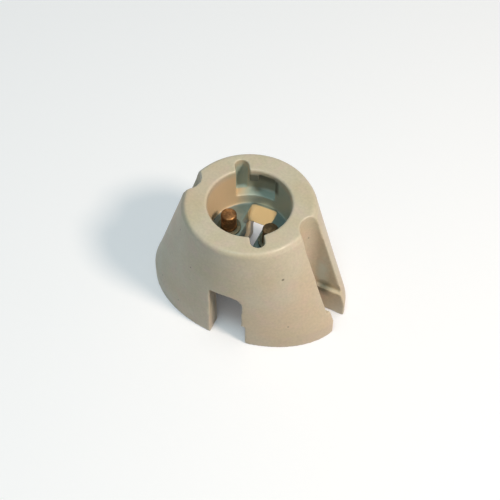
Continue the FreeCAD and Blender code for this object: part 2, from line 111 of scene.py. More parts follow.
class Graph:
    """Short way to add and join nodes in one node tree."""

    def __init__(self, tree: bpy.types.NodeTree) -> None:
        """Hold the tree that the nodes go into."""
        self.tree = tree

    def add(self, kind: str, inputs: Optional[Inputs] = None,
            **settings: object) -> bpy.types.Node:
        """Add one node.

        Args:
            kind: Blender's name of the node type.
            inputs: what feeds its inputs, by name or number.
            settings: attributes to set on the node.

        Returns:
            The new node.
        """
        node = self.tree.nodes.new(kind)
        for name, value in settings.items():
            setattr(node, name, value)
        self.fill(node, inputs or {})
        return node

    def fill(self, node: bpy.types.Node, inputs: Inputs) -> None:
        """Feed several inputs of a node, by name or number."""
        for socket, source in inputs.items():
            self.feed(node, socket, source)

    def feed(self, node: bpy.types.Node, socket: object, source: object) -> None:
        """Feed an input from another socket, or set it to a plain value.

        Args:
            node: the node whose input is fed.
            socket: name or number of the input.
            source: an output socket, a node that gives its first output, or a
                plain value.
        """
        target = node.inputs[socket]
        if isinstance(source, bpy.types.Node):
            source = source.outputs[0]
        if isinstance(source, Socket):
            self.tree.links.new(source, target)
        else:
            target.default_value = source

    def math(self, operation: str, *values: object) -> Socket:
        """Add a Math node.

        Args:
            operation: the node's operation.
            values: its inputs, as sockets or numbers.

        Returns:
            The result socket.
        """
        inputs = dict(enumerate(values))
        return self.add("ShaderNodeMath", inputs, operation=operation).outputs[0]

    def mix(self, factor: object, first: object, second: object,
            blend: str = "MIX") -> Socket:
        """Mix two colours.

        Args:
            factor: share of the second colour.
            first: colour socket or RGB.
            second: colour socket or RGB.
            blend: the node's blend type.

        Returns:
            The colour socket.
        """
        first, second = (colour if isinstance(colour, Socket) else (*colour, 1.0)
                         for colour in (first, second))
        node = self.add("ShaderNodeMix", data_type="RGBA", blend_type=blend)
        self.fill(node, {0: factor, 6: first, 7: second})
        return node.outputs[2]

    def noise(self, place: Socket, scale: float, detail: float = 3.0,
              rough: float = 0.5) -> Socket:
        """Add a Noise Texture.

        Args:
            place: the coordinates.
            scale: cells per metre.
            detail: octaves.
            rough: strength of the finer octaves.

        Returns:
            The factor socket.
        """
        node = self.add("ShaderNodeTexNoise", {"Vector": place, "Scale": scale,
                                               "Detail": detail, "Roughness": rough})
        return node.outputs["Fac"]

    def spread(self, source: Socket, low: float, high: float,
               to_low: float = 0.0, to_high: float = 1.0) -> Socket:
        """Map a value range onto another, clamped.

        Args:
            source: the value.
            low: start of its range.
            high: end of its range.
            to_low: result at the start.
            to_high: result at the end.

        Returns:
            The mapped value.
        """
        node = self.add("ShaderNodeMapRange", {
            "Value": source, "From Min": low, "From Max": high, "To Min": to_low,
            "To Max": to_high})
        return node.outputs["Result"]

    def ramp(self, source: Socket, limits: Limits) -> Socket:
        """Return a mask: 0 at the first limit, 1 at the second, in millimetres."""
        return self.spread(source, limits[0] * MM, limits[1] * MM)

    def product(self, *values: object) -> Socket:
        """Multiply masks and numbers.

        Args:
            values: sockets or numbers, the first of them a socket.

        Returns:
            The socket of their product.
        """
        result = values[0]
        for value in values[1:]:
            result = self.math("MULTIPLY", result, value)
        return result

    def mask(self, *edges: Tuple[Socket, Limits]) -> Socket:
        """Multiply soft edges into one mask.

        Args:
            edges: values, each with its limits in millimetres.

        Returns:
            The mask's socket.
        """
        return self.product(*(self.ramp(value, limits) for value, limits in edges))

    def grained(self, tone: object, pattern: Socket, reach: Limits) -> Socket:
        """Darken and brighten a colour by a fine pattern.

        Args:
            tone: the colour.
            pattern: the fine pattern.
            reach: the darkest and the brightest factor.

        Returns:
            The grained colour.
        """
        factor = self.spread(pattern, *NOISE_REACH, *reach)
        bright = self.add("ShaderNodeCombineColor", dict.fromkeys(range(3), factor))
        return self.mix(1.0, tone, bright.outputs[0], "MULTIPLY")

    def seen(self) -> Socket:
        """Tell rays that show a surface from rays that light one.

        Returns:
            1 for rays of the camera, of a mirror or of glass, else 0.
        """
        path = self.add("ShaderNodeLightPath").outputs
        shown = self.math("MAXIMUM", path["Is Camera Ray"], path["Is Glossy Ray"])
        return self.math("MAXIMUM", shown, path["Is Transmission Ray"])

    def bump(self, height: Socket, depth: float,
             normal: Optional[Socket] = None) -> Socket:
        """Add a Bump node.

        Args:
            height: the height pattern.
            depth: depth of the pattern in metres.
            normal: a bump to build on.

        Returns:
            The normal socket.
        """
        node = self.add("ShaderNodeBump",
                        {"Strength": 1.0, "Distance": depth, "Height": height})
        if normal is not None:
            self.feed(node, "Normal", normal)
        return node.outputs["Normal"]


def new_material(name: str) -> Tuple[Material, Graph, bpy.types.Node]:
    """Start a node material with a Principled shader.

    Args:
        name: the material's name.

    Returns:
        The material, its graph and its shader node.
    """
    material = bpy.data.materials.new(name)
    material.use_nodes = True
    graph = Graph(material.node_tree)
    shader = material.node_tree.nodes["Principled BSDF"]
    return material, graph, shader


# Finishes


@dataclass(frozen=True)
class Mottle:
    """Blotches of one colour in the glaze, laid by a noise pattern."""

    tone: Rgb
    cells: float
    octaves: float
    rough: float
    limits: Limits
    share: float = 1.0

    def pattern(self, graph: Graph, place: Socket) -> Socket:
        """Return the noise that lays the blotches."""
        return graph.noise(place, self.cells, self.octaves, self.rough)

    def over(self, graph: Graph, pattern: Socket, tone: object) -> Socket:
        """Lay the blotches over a colour.

        Args:
            graph: the material's graph.
            pattern: the noise of these blotches.
            tone: the colour so far.

        Returns:
            The mottled colour.
        """
        share = graph.spread(pattern, *self.limits, 0.0, self.share)
        return graph.mix(share, tone, self.tone)


@dataclass(frozen=True)
class StainAndShadePlaces:
    """Where the glaze is stained and where light and shade are painted on it, in
    millimetres.

    A pair is a soft limit: no mark at its first value, full mark at its second.
    """

    bore_wall: Limits = (14.5, 14.0)
    bore_top: Limits = (37.6, 35.5)
    bore_foot: Limits = (19.0, 20.0)
    # where the bore's painted light, tan, turns to painted shade, teal
    tan_to_green: Limits = (-5.4, -1.6)
    bore_waver: float = 5.0
    # the tracks, where teal painted shade is laid
    track_wall: Limits = (14.0, 14.5)
    track_back: Limits = (16.3, 15.9)
    track_reach: Limits = (6.0, 7.0)
    # the platform's top, where patchy painted shade is laid
    platform_top: Limits = (24.75, 24.6)
    # the lip of the resting pocket, where a painted shadow is laid
    lip_start: Limits = (-5.3, -4.7)
    lip_end: Limits = (4.2, 3.4)
    lip_reach: Limits = (8.0, 8.6)
    lip_low: Limits = (30.9, 32.3)
    lip_high: Limits = (37.0, 36.2)
    lip_wall: Limits = (11.0, 11.3)
    # the passage's sloped ends, where a painted pool of light is laid
    slope_start: Limits = (7.3, 7.7)
    slope_end: Limits = (11.2, 10.9)
    slope_top: Limits = (24.35, 24.15)
    slope_side: Limits = (4.0, 3.7)
    foot_line: Limits = (0.75, 0.55)
    foot_waver: float = 0.8
    # a pale grey-green streak down each flute
    streak_middle: Point = (20.9, 3.3, 14.5)
    streak_edge: Limits = (3.9, 2.2)
    streak_height_share: float = 0.33
    # a dark patch at each flute's screw seat
    dark_spot: Point = (21.7, 2.4, 8.4)
    dark_spot_edge: Limits = (4.8, 2.6)
    seat_waver: float = 3.0
    speck: Point = (15.56, -12.75, 28.0)
    speck_edge: Limits = (0.5, 0.22)


@dataclass(frozen=True)
class GlazeFinish:
    """Cream glaze over porcelain, thinner on edges, stained, with painted light and
    shade in the bore, and a dry foot.
    """

    name: str = "cream_glaze"
    cream: Rgb = (0.615, 0.525, 0.405)
    buff: Mottle = Mottle((0.565, 0.475, 0.325), 75.0, 4.0, 0.55, (0.36, 0.66))
    rose: Mottle = Mottle((0.635, 0.495, 0.405), 230.0, 3.0, 0.6, (0.48, 0.68), 0.7)
    peach: Mottle = Mottle((0.67, 0.465, 0.325), 42.0, 3.0, 0.6, (0.46, 0.68), 0.5)
    grain_cells: float = 1400.0
    grain_reach: Limits = (0.94, 1.05)
    edge: Rgb = (0.67, 0.59, 0.48)
    edge_share: float = 0.55
    hollow: Rgb = (0.28, 0.24, 0.17)
    hollow_share: float = 0.6
    bend_limits: Limits = (0.05, 0.6)
    speck: Rgb = (0.10, 0.07, 0.045)
    speck_share: float = 0.75
    speck_cells: float = 420.0
    speck_rarity: Limits = (0.80, 0.81)
    speck_dot: Limits = (0.12, 0.07)
    # painted light: tan on the bore's lit side
    painted_lit_tan: Rgb = (0.75, 0.52, 0.31)
    # painted shade: teal on the bore's shaded side and in its tracks
    painted_shade_teal: Rgb = (0.36, 0.46, 0.415)
    bore_share: float = 0.75
    track_share: float = 0.8
    # painted shade: dark teal over the platform in the bore, in patches
    painted_platform_shade: Rgb = (0.085, 0.125, 0.118)
    platform_shade_limits: Limits = (0.3, 0.6)
    platform_shade_shares: Limits = (0.65, 0.95)
    # painted shadow: near black under the lip of the resting pocket
    painted_lip_shadow: Rgb = (0.055, 0.05, 0.03)
    lip_shadow_share: float = 0.8
    # painted light: bright orange on the passage's sloped ends
    painted_slope_light: Rgb = (0.87, 0.64, 0.38)
    slope_light_share: float = 0.9
    # pale grey-green streak down each flute
    grey_green_streak: Rgb = (0.60, 0.64, 0.58)
    streak_share: float = 0.75
    # dark patch at each flute's screw seat
    dark_seat_tone: Rgb = (0.07, 0.08, 0.055)
    dark_seat_share: float = 0.8
    dry_foot: Rgb = (0.50, 0.44, 0.35)
    dry_roughness: float = 0.85
    roughness: float = 0.46
    satin_reach: Limits = (-0.06, 0.10)
    coat: float = 0.22
    coat_roughness: float = 0.32
    index: float = 1.5
    ripple_depth: float = 0.05
    grain_depth: float = 0.012
    pit_depth: float = 0.06
    places: StainAndShadePlaces = StainAndShadePlaces()

    def material(self) -> Material:
        """Build the glaze.

        Returns:
            The finished material.
        """
        material, graph, shader = new_material(self.name)
        place = graph.add("ShaderNodeTexCoord").outputs["Object"]
        parts = graph.add("ShaderNodeSeparateXYZ", {0: place})
        mottles = (self.buff, self.rose, self.peach)
        clouds, stains, drifts = (mottle.pattern(graph, place) for mottle in mottles)
        tone: object = self.cream
        for mottle, pattern in zip(mottles, (clouds, stains, drifts)):
            tone = mottle.over(graph, pattern, tone)
        grain = graph.noise(place, self.grain_cells, 2.0, 0.5)
        tone = graph.grained(tone, grain, self.grain_reach)
        tone = self._edges(graph, tone)
        specks = self._specks(graph, place)
        tone = graph.mix(graph.product(specks, self.speck_share), tone, self.speck)
        tone = self._inside(graph, parts, clouds, tone)
        tone = self._seats(graph, parts, stains, tone)
        ragged = graph.math("MULTIPLY_ADD", stains, self.places.foot_waver * MM,
                            parts.outputs["Z"])
        dry = graph.ramp(ragged, self.places.foot_line)
        smooth, dull = (self.roughness + change for change in self.satin_reach)
        satin = graph.spread(stains, *NOISE_REACH, smooth, dull)
        rough = graph.add("ShaderNodeMix", {0: dry, 2: satin, 3: self.dry_roughness})
        normal = graph.bump(stains, self.ripple_depth * MM)
        normal = graph.bump(grain, self.grain_depth * MM, normal)
        normal = graph.bump(specks, -self.pit_depth * MM, normal)
        graph.fill(shader, {
            "Base Color": graph.mix(dry, tone, self.dry_foot), "Roughness": rough,
            "Coat Weight": self.coat, "Coat Roughness": self.coat_roughness,
            "IOR": self.index, "Normal": normal})
        return material

    def _edges(self, graph: Graph, tone: object) -> Socket:
        """Lighten raised edges, where the glaze runs thin, and darken hollows.

        Args:
            graph: the material's graph.
            tone: the colour so far.

        Returns:
            The colour with its edges.
        """
        curve = graph.add("ShaderNodeAttribute", attribute_name=EDGE_CURVE)
        bend = curve.outputs["Fac"]
        start, full = self.bend_limits
        raised = graph.spread(bend, start, full, 0.0, self.edge_share)
        sunk = graph.spread(bend, -start, -full, 0.0, self.hollow_share)
        return graph.mix(sunk, graph.mix(raised, tone, self.edge), self.hollow)

    def _specks(self, graph: Graph, place: Socket) -> Socket:
        """Scatter a few iron specks, and add the large one on the front.

        Args:
            graph: the material's graph.
            place: the coordinates.

        Returns:
            The mask of the specks.
        """
        cells = graph.add("ShaderNodeTexVoronoi",
                          {"Vector": place, "Scale": self.speck_cells})
        rare = graph.spread(cells.outputs["Color"], *self.speck_rarity)
        dot = graph.spread(cells.outputs["Distance"], *self.speck_dot)
        spot = tuple(value * MM for value in self.places.speck)
        away = graph.add("ShaderNodeVectorMath", {0: place, 1: spot},
                         operation="DISTANCE")
        single = graph.ramp(away.outputs["Value"], self.places.speck_edge)
        return graph.math("MAXIMUM", graph.product(rare, dot), single)

    def _inside(self, graph: Graph, parts: bpy.types.Node, clouds: Socket,
                tone: object) -> Socket:
        """Paint light and shade into the bore and its tracks: tan on the lit side, teal
        in shade, patchy shade on the platform, a shadow under the lip and light on the
        passage's sloped ends.

        Args:
            graph: the material's graph.
            parts: the place, split into X, Y and Z.
            clouds: the large cloud pattern.
            tone: the colour so far.

        Returns:
            The stained colour.
        """
        at = self.places
        across, along, up = (parts.outputs[name] for name in "XYZ")
        radius = graph.math("SQRT", graph.math(
            "ADD", graph.product(across, across), graph.product(along, along)))
        reach = graph.math("ABSOLUTE", along)
        turned = graph.product(across, graph.math("SIGN", along))
        deep = graph.mask((up, at.bore_top), (up, at.bore_foot))
        bore = graph.product(graph.ramp(radius, at.bore_wall), deep)
        # painted light and shade: the bore's wall tan on its lit side, teal on its
        # shaded side
        wavy = graph.math("MULTIPLY_ADD", clouds, at.bore_waver * MM, across)
        painted_bore_light = graph.mix(graph.ramp(wavy, at.tan_to_green), self.painted_lit_tan, self.painted_shade_teal)
        tone = graph.mix(graph.product(bore, self.bore_share), tone, painted_bore_light)

        # painted shade: teal in the bayonet tracks
        track = graph.mask((radius, at.track_wall), (radius, at.track_back),
                           (reach, at.track_reach))
        tone = graph.mix(graph.product(track, deep, self.track_share), tone, self.painted_shade_teal)

        # painted shade: dark teal in patches over the platform's top
        patchy = graph.spread(clouds, *self.platform_shade_limits, *self.platform_shade_shares)
        platform_shade = graph.product(graph.ramp(up, at.platform_top), bore, patchy)
        tone = graph.mix(platform_shade, tone, self.painted_platform_shade)

        # painted shadow: near black under the lip of the resting pocket
        lip = graph.mask((turned, at.lip_start), (turned, at.lip_end),
                         (reach, at.lip_reach), (up, at.lip_low), (up, at.lip_high),
                         (radius, at.lip_wall), (radius, at.bore_wall))
        tone = graph.mix(graph.product(lip, self.lip_shadow_share), tone, self.painted_lip_shadow)

        # painted light: bright orange pool on the passage's sloped ends
        slope = graph.mask((reach, at.slope_start), (reach, at.slope_end),
                           (up, at.slope_top), (up, at.bore_foot),
                           (graph.math("ABSOLUTE", across), at.slope_side))
        return graph.mix(graph.product(slope, self.slope_light_share), tone, self.painted_slope_light)

    def _seats(self, graph: Graph, parts: bpy.types.Node, stains: Socket,
               tone: object) -> Socket:
        """Lay a pale grey-green streak down each flute and a dark patch at each screw
        seat.

        Args:
            graph: the material's graph.
            parts: the place, split into X, Y and Z.
            stains: the small cloud pattern.
            tone: the colour so far.

        Returns:
            The colour with both marks laid.
        """
        at = self.places
        across, along, up = (parts.outputs[name] for name in "XYZ")
        end = graph.math("SIGN", across)
        values = (graph.product(across, end), graph.product(along, end), up)
        marks = ((at.streak_middle, at.streak_height_share, at.streak_edge, self.grey_green_streak,
                  self.streak_share),
                 (at.dark_spot, 1.0, at.dark_spot_edge, self.dark_seat_tone, self.dark_seat_share))
        for middle, height_share, edge, colour, share in marks:
            gap: object = 0.0
            for value, start, stretch in zip(values, middle, (1.0, 1.0, height_share)):
                away = graph.math("SUBTRACT", value, start * MM)
                away = graph.product(away, stretch)
                gap = graph.math("MULTIPLY_ADD", away, away, gap)
            gap = graph.math("MULTIPLY_ADD", stains, at.seat_waver * MM,
                             graph.math("SQRT", gap))
            altered = graph.product(graph.ramp(gap, edge), share)
            tone = graph.mix(altered, tone, colour)
        return tone


@dataclass(frozen=True)
class MetalFinish:
    """A metal with oxide clouds, fine turning marks and worn roughness."""

    name: str
    bare: Rgb
    oxide: Rgb
    patina: Patina
    roughness: float = 0.3
    lines: float = 0.0
    cloud_cells: float = 420.0
    grit_cells: float = 3200.0
    grit_reach: Limits = (0.9, 1.06)
    clean_limits: Limits = (0.62, 0.86)
    patina_reach: Limits = (0.5, 0.4)
    worn_roughness: float = 0.28
    most_roughness: float = 0.8
    pit_depth: float = 0.015
    line_waver: float = 1.2
    line_depth: float = 0.006

    def material(self) -> Material:
        """Build the metal.

        Returns:
            The finished material.
        """
        material, graph, shader = new_material(self.name)
        place = graph.add("ShaderNodeTexCoord").outputs["Object"]
        clouds = graph.noise(place, self.cloud_cells, 5.0, 0.65)
        grit = graph.noise(place, self.grit_cells, 2.0, 0.5)
        start, full = (limit - reach * self.patina.value for limit, reach
                       in zip(self.clean_limits, self.patina_reach))
        film = graph.spread(clouds, start, full)
        tone = graph.mix(film, self.bare, self.oxide)
        tone = graph.grained(tone, grit, self.grit_reach)
        altered = min(self.roughness + self.worn_roughness, self.most_roughness)
        rough = graph.spread(film, 0.0, 1.0, self.roughness, altered)
        normal = graph.bump(clouds, self.pit_depth * MM)
        if self.lines > 0.0:
            turning = graph.add("ShaderNodeTexWave", {
                "Vector": place, "Scale": self.lines, "Distortion": self.line_waver},
                bands_direction="Z")
            normal = graph.bump(turning.outputs["Fac"], self.line_depth * MM, normal)
        graph.fill(shader, {"Base Color": tone, "Metallic": 1.0, "Roughness": rough,
                            "Normal": normal})
        return material


class FinishBook:
    """Makes each finish once and hands out its material."""

    def __init__(self) -> None:
        """Start with no materials made."""
        self._made: Dict[str, Material] = {}

    def of(self, finish: object) -> Material:
        """Return the material of a finish, made on first use.

        Args:
            finish: a finish with a name and a material method.

        Returns:
            The material.
        """
        if finish.name not in self._made:
            self._made[finish.name] = finish.material()
        return self._made[finish.name]


GLAZE = GlazeFinish()
CONTACT_BRASS = MetalFinish("contact_brass", (0.56, 0.29, 0.12), (0.155, 0.08, 0.036),
                            Patina.DARK, 0.40, 900.0)
# painted shade: a darker copy of the contact brass for the right plunger, which stands
# in shade
SHADED_PLUNGER_BRASS = MetalFinish("shaded_plunger_brass", (0.34, 0.22, 0.11),
                              (0.10, 0.07, 0.038), Patina.DARK, 0.45, 900.0)
# dark greenish oxide: partly patina, partly painted shade that sinks the collars into
# the shade round the plungers
BARREL_BRASS = MetalFinish("barrel_brass", (0.30, 0.24, 0.14), (0.12, 0.13, 0.095),
                           Patina.DARK, 0.45, 900.0)
STRAP_BRASS = MetalFinish("strap_brass", (0.72, 0.52, 0.24), (0.34, 0.21, 0.09),
                          Patina.DULL, 0.28)
BLOCK_BRASS = MetalFinish("block_brass", (0.70, 0.50, 0.22), (0.33, 0.21, 0.09),
                          Patina.FRESH, 0.3, 700.0)
ZINC_STEEL = MetalFinish("zinc_steel", (0.60, 0.60, 0.58), (0.33, 0.30, 0.25),
                         Patina.DULL, 0.36, 700.0)
SPRING_STEEL = MetalFinish("spring_steel", (0.55, 0.55, 0.56), (0.22, 0.19, 0.16),
                           Patina.FRESH, 0.28)


# Mesh helpers


def mesh_object(name: str, mesh: Mesh, material: Material) -> Piece:
    """Put a mesh in the scene as an object at the origin.

    Args:
        name: the object's name.
        mesh: its mesh.
        material: its one material.

    Returns:
        The object.
    """
    mesh.materials.clear()
    mesh.materials.append(material)
    piece = bpy.data.objects.new(name, mesh)
    bpy.context.scene.collection.objects.link(piece)
    return piece


def settled(piece: Piece) -> Piece:
    """Turn an object's modifiers into plain mesh.

    Args:
        piece: the object with its modifiers.

    Returns:
        The same object without modifiers.
    """
    graph = bpy.context.evaluated_depsgraph_get()
    mesh = bpy.data.meshes.new_from_object(piece.evaluated_get(graph))
    piece.modifiers.clear()
    piece.data = mesh
    return piece


def smooth_by_angle(mesh: Mesh, degrees: float) -> None:
    """Shade a mesh smooth, with sharp edges past an angle.

    Args:
        mesh: the mesh.
        degrees: the angle between faces past which an edge stays sharp.
    """
    mesh.shade_smooth()
    mesh.set_sharp_from_angle(angle=math.radians(degrees))


def rings_to_mesh(name: str, rings: Sequence[Sequence[Point]], closed: bool,
                  start_pole: Optional[Point] = None,
                  end_pole: Optional[Point] = None) -> Mesh:
    """Join rings of points into a closed skin.

    Args:
        name: the mesh's name.
        rings: rings with equally many points, along the profile.
        closed: whether the last ring joins the first.
        start_pole: point that closes the first ring.
        end_pole: point that closes the last ring.

    Returns:
        The mesh, with its faces pointing outwards.
    """
    work = bmesh.new()
    rows = [[work.verts.new(point) for point in ring] for ring in rings]
    count = len(rows[0])
    pairs = list(zip(rows, rows[1:]))
    if closed:
        pairs.append((rows[-1], rows[0]))
    for low, high in pairs:
        for i in range(count):
            j = (i + 1) % count
            work.faces.new((low[i], low[j], high[j], high[i]))
    for pole, row in ((start_pole, rows[0]), (end_pole, rows[-1])):
        if pole is not None:
            tip = work.verts.new(pole)
            for i in range(count):
                work.faces.new((row[i], row[(i + 1) % count], tip))
    bmesh.ops.recalc_face_normals(work, faces=work.faces)
    mesh = bpy.data.meshes.new(name)
    work.to_mesh(mesh)
    work.free()
    return mesh


def around(centre: Tuple[float, float], radius: float, angle: float,
           height: float) -> Point:
    """Place a point about a vertical axis.

    Args:
        centre: the axis, in millimetres.
        radius: distance from it, in millimetres.
        angle: angle from X, in radians.
        height: height above the floor, in millimetres.

    Returns:
        The point in metres.
    """
    return ((centre[0] + radius * math.cos(angle)) * MM,
            (centre[1] + radius * math.sin(angle)) * MM, height * MM)


def lathe(name: str, centre: Tuple[float, float], profile: Sequence[ProfilePoint],
          closed: bool, segments: int) -> Mesh:
    """Turn a profile about a vertical axis.

    Args:
        name: the mesh's name.
        centre: the axis, in millimetres.
        profile: (radius, height) pairs in millimetres, along the outline.
        closed: True for a ring with a hole, False for a solid that starts and
            ends on the axis, whose first and last pairs have radius 0.
        segments: points round the axis.

    Returns:
        The mesh.
    """
    body = list(profile) if closed else list(profile)[1:-1]
    angles = [2.0 * math.pi * i / segments for i in range(segments)]
    rings = [[around(centre, radius, angle, height) for angle in angles]
             for radius, height in body]
    if closed:
        return rings_to_mesh(name, rings, True)
    poles = [around(centre, 0.0, 0.0, profile[k][1]) for k in (0, -1)]
    return rings_to_mesh(name, rings, False, poles[0], poles[1])


def rounded(profile: Sequence[ProfilePoint], radius: float, steps: int,
            closed: bool) -> List[ProfilePoint]:
    """Round the corners of a profile.

    Args:
        profile: (radius, height) pairs in millimetres.
        radius: the rounding at each corner, at most, in millimetres.
        steps: pieces in each rounding.
        closed: whether the profile is a loop.

    Returns:
        The profile with each corner replaced by a short curve.
    """
    count = len(profile)
    result: List[ProfilePoint] = []
    for i, corner in enumerate(profile):
        if not closed and i in (0, count - 1):
            result.append(corner)
            continue
        here = Vector(corner)
        back = Vector(profile[i - 1]) - here
        ahead = Vector(profile[(i + 1) % count]) - here
        cut = min(radius, back.length * ROUNDING_SHARE, ahead.length * ROUNDING_SHARE)
        first = here + back.normalized() * cut
        last = here + ahead.normalized() * cut
        for step in range(steps + 1):
            t = step / steps
            point = first.lerp(here, t).lerp(here.lerp(last, t), t)
            result.append((point.x, point.y))
    return result


def merged_copy(node: str, name: str, flat_degrees: float = 0.0) -> Mesh:
    """Copy a CAD node's mesh with its loose triangles joined.

    Args:
        node: the CAD node.
        name: the new mesh's name.
        flat_degrees: faces that meet at less than this angle become one.

    Returns:
        The new mesh.
    """
    work = bmesh.new()
    work.from_mesh(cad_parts[node].data)
    bmesh.ops.remove_doubles(work, verts=work.verts, dist=WELD)
    if flat_degrees > 0.0:
        bmesh.ops.dissolve_limit(work, angle_limit=math.radians(flat_degrees),
                                 verts=work.verts, edges=work.edges)
    mesh = bpy.data.meshes.new(name)
    work.to_mesh(mesh)
    work.free()
    return mesh


def softened_copy(node: str, name: str, material: Material, width: float) -> Piece:
    """Copy a CAD node's shape with small rounded edges.

    Args:
        node: the CAD node.
        name: the new object's name.
        material: its material.
        width: edge rounding in millimetres.

    Returns:
        The new object.
    """
    piece = mesh_object(name, merged_copy(node, name, FLAT_ANGLE), material)
    bevel = piece.modifiers.new("edge_rounding", "BEVEL")
    bevel.width = width * MM
    bevel.segments = 3
    bevel.limit_method = "ANGLE"
    bevel.angle_limit = math.radians(ROUNDED_ANGLE)
    bevel.use_clamp_overlap = True
    settled(piece)
    smooth_by_angle(piece.data, SOFT_ANGLE)
    return piece


def placed(piece: Piece, body: Body, slot: str, *nodes: str) -> None:
    """Give a finished piece its body and hide the nodes it stands for.

    Args:
        piece: the finished object.
        body: the rigid body it rides on.
        slot: the material slot's name; not used.
        nodes: the CAD nodes that it replaces.
    """
    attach(piece, body.value)
    if nodes:
        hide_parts(*nodes)
    LOG.info("%s: %d faces on %s", piece.name, len(piece.data.polygons), body.value)


# Geometry nodes


@dataclass
class HelixTree:
    """Geometry nodes that sweep a small round or edged section along a helix."""

    name: str = "helix"
    tree: Optional[bpy.types.NodeTree] = field(default=None, init=False)

    INPUTS = (("Geometry", "Geometry", None), ("Coil Radius", "Float", 1.0),
              ("Section Radius", "Float", 0.1), ("Rise", "Float", 1.0),
              ("Turns", "Float", 5.0), ("Closed Turns", "Float", 0.0),
              ("Centre X", "Float", 0.0), ("Centre Y", "Float", 0.0),
              ("Start Z", "Float", 0.0), ("Points", "Int", 300),
              ("Section Sides", "Int", 10), ("Finish", "Material", None))

    def build(self) -> bpy.types.NodeTree:
        """Build the tree once.

        Returns:
            The node group, with its sizes as named inputs.
        """
        if self.tree is not None:
            return self.tree
        tree = bpy.data.node_groups.new(self.name, "GeometryNodeTree")
        face = tree.interface
        for name, kind, value in self.INPUTS:
            socket = face.new_socket(name=name, in_out="INPUT",
                                     socket_type="NodeSocket" + kind)
            if value is not None:
                socket.default_value = value
        face.new_socket(name="Geometry", in_out="OUTPUT",
                        socket_type="NodeSocketGeometry")
        graph = Graph(tree)
        given = graph.add("NodeGroupInput").outputs
        line = graph.add("GeometryNodeMeshLine", {"Count": given["Points"]})
        thread = graph.add("GeometryNodeMeshToCurve", {"Mesh": line})

        index = graph.add("GeometryNodeInputIndex").outputs[0]
        last = graph.math("SUBTRACT", given["Points"], 1.0)
        along = graph.math("DIVIDE", index, last)
        turn = graph.product(along, given["Turns"])
        angle = graph.product(turn, 2.0 * math.pi)
        rest = graph.math("SUBTRACT", given["Turns"], given["Closed Turns"])
        pitch = graph.product(given["Section Radius"], 2.0)
        low = graph.math("MINIMUM", turn, given["Closed Turns"])
        high = graph.math("MAXIMUM", graph.math("SUBTRACT", turn, rest), 0.0)
        closed = graph.product(graph.math("ADD", low, high), pitch)
        used = graph.product(given["Closed Turns"], 2.0, pitch)
        free = graph.math("SUBTRACT", given["Rise"], used)
        open_part = graph.spread(turn, given["Closed Turns"], rest)
        height = graph.math("ADD", closed, graph.product(open_part, free))
        spot = graph.add("ShaderNodeCombineXYZ",
                         {"Z": graph.math("ADD", height, given["Start Z"])})
        for axis, wave in (("X", "COSINE"), ("Y", "SINE")):
            swing = graph.product(graph.math(wave, angle), given["Coil Radius"])
            graph.feed(spot, axis, graph.math("ADD", swing, given["Centre " + axis]))
        move = graph.add("GeometryNodeSetPosition", {"Geometry": thread,
                                                     "Position": spot})
        upright = graph.add("GeometryNodeSetCurveNormal", {"Curve": move}, mode="Z_UP")
        section = graph.add("GeometryNodeCurvePrimitiveCircle", {
            "Resolution": given["Section Sides"], "Radius": given["Section Radius"]})
        sweep = graph.add("GeometryNodeCurveToMesh", {
            "Curve": upright, "Profile Curve": section, "Fill Caps": True})
        real = graph.add("GeometryNodeRealizeInstances", {"Geometry": sweep})
        dressed = graph.add("GeometryNodeSetMaterial", {"Geometry": real,
                                                        "Material": given["Finish"]})
        graph.add("NodeGroupOutput", {0: dressed})
        self.tree = tree
        return tree

    def sweep(self, name: str, material: Material, **inputs: float) -> Piece:
        """Make one helix as plain mesh.

        Args:
            name: the object's name.
            material: its material.
            inputs: the tree's sizes, with underscores for spaces, in metres.

        Returns:
            The finished object.
        """
        tree = self.build()
        piece = mesh_object(name, bpy.data.meshes.new(name), material)
        modifier = piece.modifiers.new("helix", "NODES")
        modifier.node_group = tree
        values: Dict[str, object] = {key.replace("_", " "): value
                                     for key, value in inputs.items()}
        values["Finish"] = material
        for item in tree.interface.items_tree:
            if item.item_type == "SOCKET" and item.in_out == "INPUT":
                if item.name in values:
                    modifier[item.identifier] = values[item.name]
        settled(piece)
        smooth_by_angle(piece.data, COIL_ANGLE)
        return piece


HELIX = HelixTree()


# Porcelain


